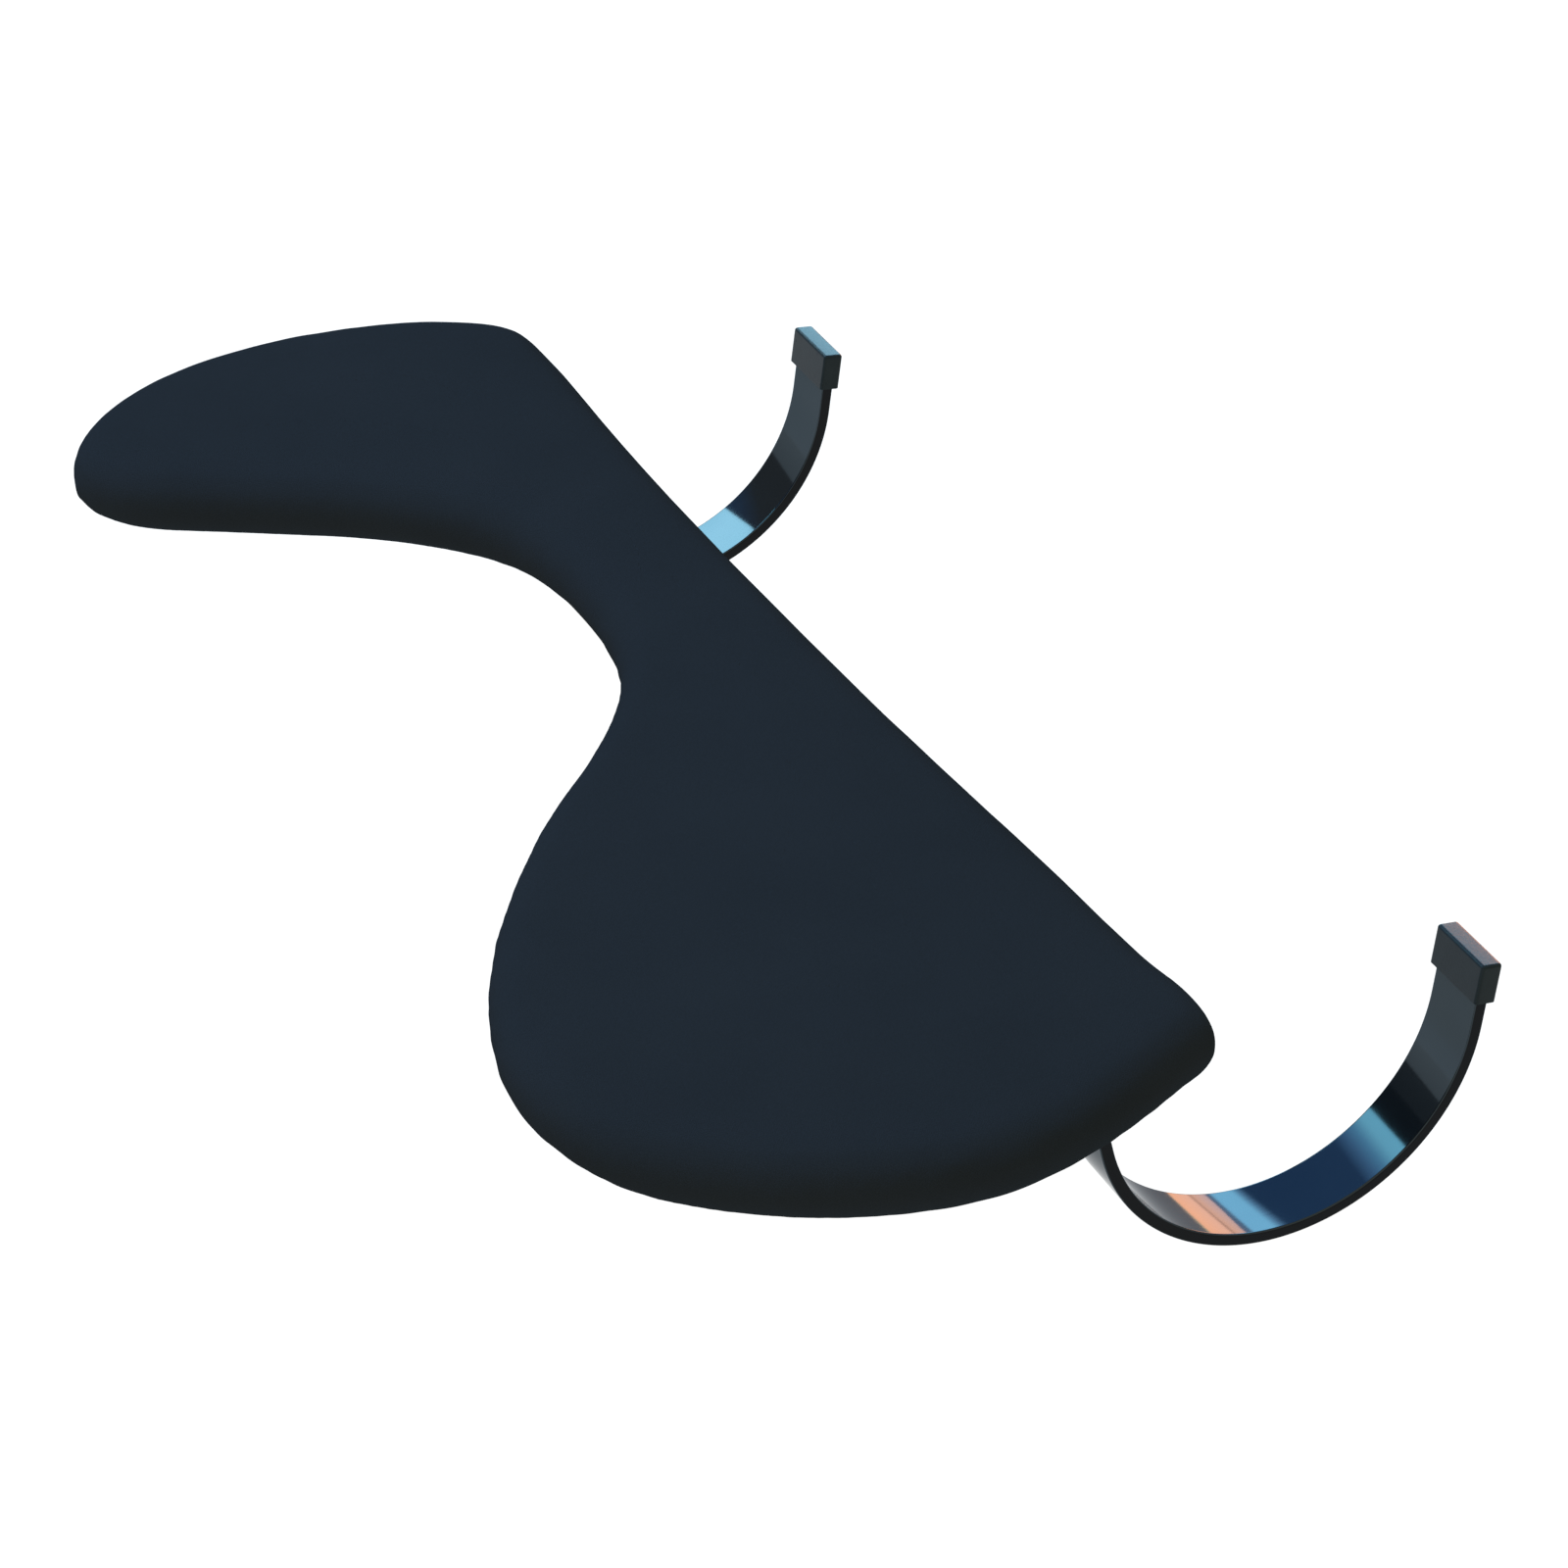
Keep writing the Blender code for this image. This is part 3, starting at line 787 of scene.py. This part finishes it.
def bend_strip(hook):
    """The strip, and the middle of its tip's end face."""
    low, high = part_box(hook + "_hook_band")
    middle = (low.x + high.x) / 2
    bend_y = low.y + TANG
    strip = block(
        hook + "_band",
        (middle, low.y + TANG / 2, high.z - THICK / 2),
        (high.x - low.x, TANG, THICK),
    )
    sweep_z = low.z + THICK + SWEEP
    drop = high.z - BEND * (1 - math.sin(FLARE)) - (sweep_z - SWEEP * math.sin(FLARE))
    root_leg = drop / math.cos(FLARE)
    sweep_y = bend_y + (BEND + SWEEP) * math.cos(FLARE) + root_leg * math.sin(FLARE)
    edit(strip)
    pick(strip, lambda face: face.normal.y > 0.9)
    bpy.ops.mesh.spin(
        steps=BEND_STEPS, angle=math.pi / 2 - FLARE,
        center=(middle, bend_y, high.z - BEND), axis=ALONG_X,
    )
    push(root_leg, (0, math.sin(FLARE), -math.cos(FLARE)))
    bpy.ops.mesh.spin(
        steps=SWEEP_STEPS, angle=2 * FLARE - math.pi,
        center=(middle, sweep_y, sweep_z), axis=ALONG_X,
    )
    push(TIP_LEG, (0, math.sin(FLARE), math.cos(FLARE)))
    done()
    clean(strip)
    reach = SWEEP + THICK / 2
    tip = Vector((
        middle,
        sweep_y + reach * math.cos(FLARE) + TIP_LEG * math.sin(FLARE),
        sweep_z - reach * math.sin(FLARE) + TIP_LEG * math.cos(FLARE),
    ))
    return strip, tip


def slot_punch(hook):
    """A punch with round ends, as long as the tang's travel under the screw."""
    joint = next(j for j in frame["joints"] if j["name"] == hook + "_hook_reach")
    inwards, outwards = joint["range_m"]
    pivot = pivots[hook]
    end = (pivot.x, pivot.y - outwards, pivot.z)
    punch = disc(hook + "_punch", end, SLOT_RADIUS, CUTTER_HEIGHT)
    edit(punch, "VERT")
    pick(punch, lambda vert: vert.co.y > pivot.y - outwards + 0.01 * MM, "verts")
    bpy.ops.transform.translate(value=(0, outwards - inwards, 0))
    done()
    return punch


tips = {}
for hook in HOOKS:
    strip, tips[hook] = bend_strip(hook)
    soften_edges(strip, EDGE_ROUND)
    cut(strip, slot_punch(hook))
    smooth(strip)
    hand_in(strip, hook + "_hook_band")

# %% [markdown]
# ## The tip caps
#
# A moulded rubber sleeve protects the violin's edge from each steel tip. It is a block a little
# bigger than the strip, pocketed from below by an inset and an extrusion, with small radii where
# the mould's parts met. It is shaped upright at the centre, and then leaned to the tip's flare.

# %% Mould the caps
CAP_WALL = 0.45 * MM
CAP_END = 0.9 * MM
CAP_FIT = 0.25 * MM
CAP_HEIGHT = 5.85 * MM
CAP_ROUND = 0.5 * MM
CAP_LIP = 0.15 * MM
cap_depth = THICK + 2 * (CAP_FIT + CAP_WALL)


def mould_cap(hook, tip):
    """A cap with its pocket, leaned onto the tip of the strip."""
    low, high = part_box(hook + "_tip_cap")
    middle = (0, 0, CAP_FIT + CAP_END - CAP_HEIGHT / 2)
    cap = block(hook + "_cap", middle, (high.x - low.x, cap_depth, CAP_HEIGHT))

    def is_rounded(edge):
        is_top = min(v.co.z for v in edge.verts) > 0
        return is_top or length_along(edge, 2) > CAP_HEIGHT / 2

    edit(cap, "EDGE")
    pick(cap, is_rounded, "edges")
    bpy.ops.mesh.bevel(offset=CAP_ROUND, segments=4, profile=0.5)
    bpy.ops.mesh.select_mode(type="FACE")
    bpy.ops.mesh.select_all(action="DESELECT")
    pick(cap, lambda face: face.normal.z < -0.9)
    bpy.ops.mesh.inset(thickness=CAP_LIP)
    bpy.ops.mesh.inset(thickness=CAP_WALL - CAP_LIP)
    push(CAP_HEIGHT - CAP_END, (0, 0, 1))
    bpy.ops.mesh.select_all(action="DESELECT")
    done()
    clean(cap)
    cap.location = tip
    cap.rotation_euler.x = -FLARE
    bake_place(cap)
    smooth(cap)
    return cap


for hook in HOOKS:
    hand_in(mould_cap(hook, tips[hook]), hook + "_tip_cap")

# %% [markdown]
# ## The clamps
#
# Under the board, each hook's tang lies in a milled saddle, and a low thumb screw squeezes the two
# against the board through a washer. They are small turned and milled parts, so what shows them is
# their broken edges, the fluted rim for the fingers, and the slot for a coin.

# %% The saddles and washers
SADDLE_WALL = 1.5 * MM
SADDLE_FLOOR = 1.2 * MM
SADDLE_EDGE = 0.45 * MM
GROOVE_CORNER = 0.3 * MM
WASHER_EDGE = 0.14 * MM
BORE = 2.7 * MM
DRILL_HEIGHT = 40 * MM


def bore_through(obj, axis, radius):
    """Drills an upright hole right through."""
    cut(obj, disc("drill", tuple(axis), radius, DRILL_HEIGHT))


def mill_saddle(hook):
    """A channel for the tang: a block with a slot along it, broken edges and a bore."""
    low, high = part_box(hook + "_saddle")
    saddle = block(hook + "_channel", (low + high) / 2, high - low)
    length = high.y - low.y
    soften_edges(saddle, SADDLE_EDGE)
    inside = Vector((high.x - low.x - 2 * SADDLE_WALL, length + 2 * MM, high.z - low.z))
    middle = (low + high) / 2 + Vector((0, 0, SADDLE_FLOOR))
    groove = block("groove", middle, inside)

    def is_bottom_corner(edge):
        return all(v.co.z < middle.z for v in edge.verts) and length_along(edge, 1) > length

    edit(groove, "EDGE")
    pick(groove, is_bottom_corner, "edges")
    bpy.ops.mesh.bevel(offset=GROOVE_CORNER, segments=3)
    done()
    cut(saddle, groove)
    bore_through(saddle, pivots[hook], BORE)
    smooth(saddle)
    return saddle


def turn_washer(hook):
    """A flat ring with broken edges."""
    low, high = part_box(hook + "_washer")
    washer = disc(hook + "_ring", (low + high) / 2, (high.x - low.x) / 2, high.z - low.z, sides=96)
    soften_edges(washer, WASHER_EDGE, segments=2)
    bore_through(washer, pivots[hook], BORE)
    smooth(washer)
    return washer


# %% The thumb screws
HEAD_HEIGHT = 2.8 * MM
HEAD_EDGE = 0.5 * MM
FLUTES = 24
FLUTE_DEPTHS = (0.0, 0.12 * MM, 0.28 * MM, 0.35 * MM, 0.28 * MM, 0.12 * MM)
RIM_SIDES = FLUTES * len(FLUTE_DEPTHS)
SHANK = 2.4 * MM
SHANK_END = 0.8
COIN_SLOT_WIDTH = 1.4 * MM
COIN_SLOT_DEPTH = 1.1 * MM


def rim_side(vert, axis, least_radius):
    """Which of the rim's sides a vertex stands at, or None if it lies further in than the rim."""
    x, y = vert.co.x - axis.x, vert.co.y - axis.y
    if math.hypot(x, y) > least_radius:
        return round(math.atan2(y, x) / (2 * math.pi) * RIM_SIDES)
    return None


def flute(screw, axis, radius):
    """Presses the sides of the rim in by turns, so that flutes run down it."""
    rim = radius - HEAD_EDGE / 2
    sides = len(FLUTE_DEPTHS)
    for number, depth in enumerate(FLUTE_DEPTHS):
        bpy.ops.mesh.select_all(action="DESELECT")

        def at_this_depth(vert, number=number):
            side = rim_side(vert, axis, rim)
            return side is not None and side % sides == number

        pick(screw, at_this_depth, "verts")
        taper(1 - depth / radius, axis)


def turn_thumb_screw(hook):
    """Head, fluted rim, coin slot and shank, turned and milled from one bar."""
    low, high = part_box(hook + "_thumb_screw")
    axis = pivots[hook]
    radius = (high.x - low.x) / 2
    screw = disc(
        hook + "_clamp_screw_turned", (axis.x, axis.y, low.z + HEAD_HEIGHT / 2),
        radius, HEAD_HEIGHT, sides=RIM_SIDES,
    )
    soften_edges(screw, HEAD_EDGE)
    edit(screw)
    pick(screw, lambda face: face.normal.z > 0.99)
    bpy.ops.mesh.inset(thickness=radius - HEAD_EDGE - SHANK)
    push(high.z - low.z - HEAD_HEIGHT - HEAD_EDGE, (0, 0, 1))
    push(HEAD_EDGE, (0, 0, 1))
    taper(SHANK_END, axis)
    bpy.ops.mesh.select_mode(type="VERT")
    flute(screw, axis, radius)
    done()
    slot = (3 * radius, COIN_SLOT_WIDTH, 2 * COIN_SLOT_DEPTH)
    cut(screw, block("coin_cutter", (axis.x, axis.y, low.z), slot))
    smooth(screw, degrees=30)
    return screw


for hook in HOOKS:
    hand_in(mill_saddle(hook), hook + "_saddle")
    hand_in(turn_washer(hook), hook + "_washer")
    hand_in(turn_thumb_screw(hook), hook + "_thumb_screw")

# %% The panel's countersunk screws
THREAD = 1.25 * MM
PANEL_HEAD = 1.0 * MM
PANEL_RIM = 0.12 * MM
PANEL_POINT = 0.3 * MM
POINT_END = 0.6
HEX = 1.1 * MM
HEX_DEPTH = 0.7 * MM
HEX_EDGE = 0.06 * MM


def turn_panel_screw(node):
    """A flat head with a hexagonal socket, a cone under it, and a plain shank."""
    low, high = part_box(node)
    middle = (low + high) / 2
    head = (high.x - low.x) / 2
    base = (middle.x, middle.y, low.z + PANEL_RIM / 2)
    screw = disc(node + "_turned", base, head, PANEL_RIM, sides=48)
    edit(screw)
    pick(screw, lambda face: face.normal.z > 0.99)
    push(PANEL_HEAD - PANEL_RIM, (0, 0, 1))
    taper(THREAD / head, middle)
    push(high.z - low.z - PANEL_HEAD - PANEL_POINT, (0, 0, 1))
    push(PANEL_POINT, (0, 0, 1))
    taper(POINT_END, middle)
    done()
    cut(screw, disc("hex_key", (middle.x, middle.y, low.z), HEX, 2 * HEX_DEPTH, sides=6))
    soften_edges(screw, HEX_EDGE, segments=2, degrees=50)
    smooth(screw, degrees=30)
    return screw


for number in range(1, 7):
    node = f"panel_screw_{number}"
    hand_in(turn_panel_screw(node), node)

# %% [markdown]
# ## The stage
#
# The product stands on a lit white table, as for a catalogue: the table glows, so it stays white in
# the object's shade. The room's light is soft and warm from all round, and a large cool lamp hangs
# high over the pad. Together they leave the fabric a cool black on top and a plain black at its
# walls. Polished black chrome shows only what it mirrors, so tinted cards stand where the bands
# look. They light nothing else.

# %% The lit table
TABLE_SIZE = 8.0

floor = start("table", bpy.ops.mesh.primitive_plane_add, size=TABLE_SIZE)
white = Finish("lit_table", Roughness=0.6, Specular_IOR_Level=0.1)
speck = white.noise(4 * MM, detail=2)
white.set(
    Base_Color=white.mix(speck, (0.05, 0.05, 0.05), (0.07, 0.07, 0.07)),
    Emission_Color=(1.0, 1.0, 0.995),
    Emission_Strength=1.0,
)
floor.data.materials.append(white.material)

# %% Room light and the cool lamp
ROOM_COLOUR = (1.0, 0.89, 0.58, 1)
ROOM_LIGHT = 0.62

room = bpy.data.worlds.new("room")
bpy.context.scene.world = room
room.use_nodes = True
sky = room.node_tree.nodes["Background"].inputs
sky["Color"].default_value = ROOM_COLOUR
sky["Strength"].default_value = ROOM_LIGHT


def direction(azimuth, elevation):
    """A unit vector. Azimuth 0 is +X and 90 is +Y."""
    turn, rise = math.radians(azimuth), math.radians(elevation)
    flat = math.cos(rise)
    return Vector((flat * math.cos(turn), flat * math.sin(turn), math.sin(rise)))


def turn_to(obj, towards):
    """Faces an object back along a direction, at what it hangs over."""
    obj.rotation_euler = towards.to_track_quat("Z", "Y").to_euler()


def lamp(name, azimuth, elevation, distance, size, colour, strength):
    """A round lamp that lights the fabric and isn't mirrored in the chrome."""
    data = bpy.data.lights.new(name, "AREA")
    data.shape = "DISK"
    data.size = size
    data.color = colour
    data.energy = strength
    made = bpy.data.objects.new(name, data)
    bpy.context.scene.collection.objects.link(made)
    towards = direction(azimuth, elevation)
    made.location = towards * distance
    turn_to(made, towards)
    made.visible_camera = False
    made.visible_glossy = False


lamp("cool_overhead", 216, 65, 1.6, 1.3, (0.36, 0.60, 1.0), 36)

# %% Cards for the chrome to mirror
# Each card is placed by where it is seen from the middle of the broad hook's sweep.
sweep_middle = Vector((pivots["broad"].x, tips["broad"].y - SWEEP, SWEEP))


def card(name, azimuths, elevations, stops, distance=1.5, slant=0.0, lean=0.0):
    """A glowing card across a span of azimuth and elevation, seen only in polished metal.

    A stop is how far up the card it lies, from 0 to 1, and the light that the card gives off there.
    The card itself is turned by its slant. Its bands of colour climb across it by its lean.
    """
    made = start(name, bpy.ops.mesh.primitive_plane_add, size=1)
    azimuth, elevation = sum(azimuths) / 2, sum(elevations) / 2
    wide = 2 * distance * math.tan(math.radians(azimuths[1] - azimuths[0]) / 2)
    wide *= math.cos(math.radians(elevation))
    tall = 2 * distance * math.tan(math.radians(elevations[1] - elevations[0]) / 2)
    made.scale = (wide, tall, 1)
    bpy.ops.object.transform_apply(scale=True)
    glow = Finish(name, Base_Color=(0, 0, 0), Specular_IOR_Level=0.0, Roughness=1.0)
    across, up, _ = glow.axes()
    peak = max(max(colour) for _, colour in stops)
    stops = [(place, tuple(part / peak for part in colour)) for place, colour in stops]
    climb = up / tall + across / wide * lean + 0.5
    ramp = glow.node("ShaderNodeValToRGB", {"stops": stops}, {"Fac": climb})
    glow.set(Emission_Color=ramp, Emission_Strength=peak)
    made.data.materials.append(glow.material)
    towards = direction(azimuth, elevation)
    made.location = sweep_middle + towards * distance
    turn_to(made, towards)
    made.rotation_euler.rotate_axis("Z", math.radians(slant))
    made.visible_camera = False
    made.visible_diffuse = False
    made.visible_transmission = False
    made.visible_shadow = False


DUSK = (0.24, 0.21, 0.19)
NAVY = (0.20, 0.50, 1.10)
PLUM = (1.6, 2.2, 3.2)
ORANGE = (18.9, 7.2, 3.7)
PALE_BLUE = (4.0, 8.2, 10.6)
card(
    "dark_wall", (105, 250), (9, 70),
    [(0.0, DUSK), (0.30, DUSK), (0.46, NAVY), (1.0, NAVY)],
    distance=1.7,
)
card(
    "far_wall", (185, 250), (-0.8, 9.2),
    [(0.0, (1.0, 1.0, 1.0)), (1.0, (0.8, 0.8, 0.8))],
    distance=1.6,
)
card(
    "sunset", (120, 142), (-1.5, 18.5),
    [
        (0.0, (5.0, 4.0, 2.6)), (0.04, ORANGE), (0.52, (20.0, 8.4, 5.2)),
        (0.57, (7.0, 3.0, 2.0)), (0.62, (17.0, 7.2, 4.4)), (0.90, (14.0, 7.4, 6.2)), (1.0, PLUM),
    ],
    lean=-0.5,
)
card(
    "window", (122, 166), (17.5, 34.5),
    [
        (0.0, PLUM), (0.10, PLUM), (0.18, PALE_BLUE), (0.7, PALE_BLUE),
        (0.86, (1.6, 3.0, 4.6)), (1.0, NAVY),
    ],
    lean=0.35,
)
card("side_window", (143, 166), (4, 18), [(0.0, PALE_BLUE), (1.0, PALE_BLUE)])
card(
    "evening_sky", (199, 217), (26, 49),
    [
        (0.0, (3.0, 7.2, 8.8)), (0.35, (2.7, 6.4, 7.8)), (0.58, (1.3, 3.2, 4.8)),
        (0.78, (0.8, 1.7, 3.0)), (1.0, NAVY),
    ],
    slant=50, lean=0.25,
)
card(
    "far_window", (172, 197), (26.5, 37.0),
    [
        (0.0, (2.0, 4.0, 6.0)), (0.2, (7.0, 12.0, 13.6)), (0.6, (7.4, 12.3, 14.0)),
        (1.0, (6.0, 10.8, 12.6)),
    ],
    distance=1.45, lean=0.4,
)
print("lamps and cards stand about the sweep at", [round(v / MM, 1) for v in sweep_middle])

# %% The camera
# It stands off the pad's broad end and looks down on it, rolled a few degrees.
CAMERA_TARGET = Vector((28.9, -3.3, 38.5)) * MM
CAMERA_DISTANCE = 0.6989
CAMERA_AZIMUTH = 66.6
CAMERA_ELEVATION = 34.0
CAMERA_ROLL = 3.6
FOCAL_LENGTH = 117.2
SENSOR_WIDTH = 36

lens = bpy.data.cameras.new("camera")
lens.lens = FOCAL_LENGTH
lens.sensor_width = SENSOR_WIDTH
lens.clip_start = 0.01
camera = bpy.data.objects.new("camera", lens)
bpy.context.scene.collection.objects.link(camera)
away = direction(CAMERA_AZIMUTH - 90, CAMERA_ELEVATION)
camera.location = CAMERA_TARGET + away * CAMERA_DISTANCE
camera.rotation_mode = "QUATERNION"
camera.rotation_quaternion = away.to_track_quat("Z", "Y")
roll = Matrix.Rotation(math.radians(-CAMERA_ROLL), 4, away)
bpy.context.view_layer.update()
camera.matrix_world = Matrix.Translation(camera.location) @ (
    roll @ camera.rotation_quaternion.to_matrix().to_4x4()
)
bpy.context.scene.camera = camera
bpy.context.scene.view_settings.view_transform = "Standard"
print("camera looks along", [round(-v, 4) for v in camera.matrix_world.col[2][:3]])
print("camera right is", [round(v, 4) for v in camera.matrix_world.col[0][:3]])
